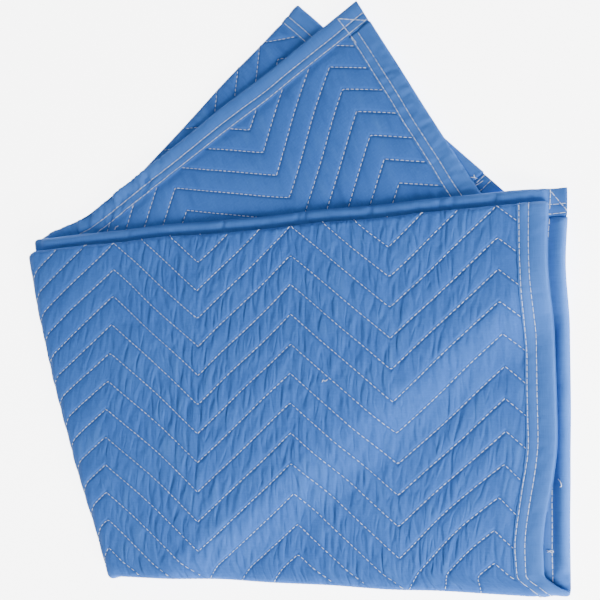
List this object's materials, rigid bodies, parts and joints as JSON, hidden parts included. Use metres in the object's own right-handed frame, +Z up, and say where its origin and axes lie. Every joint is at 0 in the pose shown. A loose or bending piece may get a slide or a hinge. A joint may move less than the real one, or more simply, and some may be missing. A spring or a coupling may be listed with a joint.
{
  "type": "folded moving blanket",
  "caption": "Quilted moving blanket for padding furniture, edged with stitched tape, folded into a strip and folded back on itself along a slanted line, lying flat.",
  "frame": {"origin": "centre of the folded blanket's bounding box, on the floor under it", "axes": "+Z up out of the floor; +X along the front half's zigzag rows, towards its side edge; +Y from its bottom fold towards the flap"},
  "size_m": [1.1126, 1.0915, 0.051],
  "materials": {
    "quilted_cloth": "matte woven cloth, quilted",
    "edge_tape": "matte woven tape"
  },
  "bodies": {
    "root": {"quilted_panel": "quilted_cloth", "side_tape_front": "edge_tape", "side_tape_back": "edge_tape", "end_tape_lower": "edge_tape", "end_tape_inner": "edge_tape"}
  },
  "joints": []
}
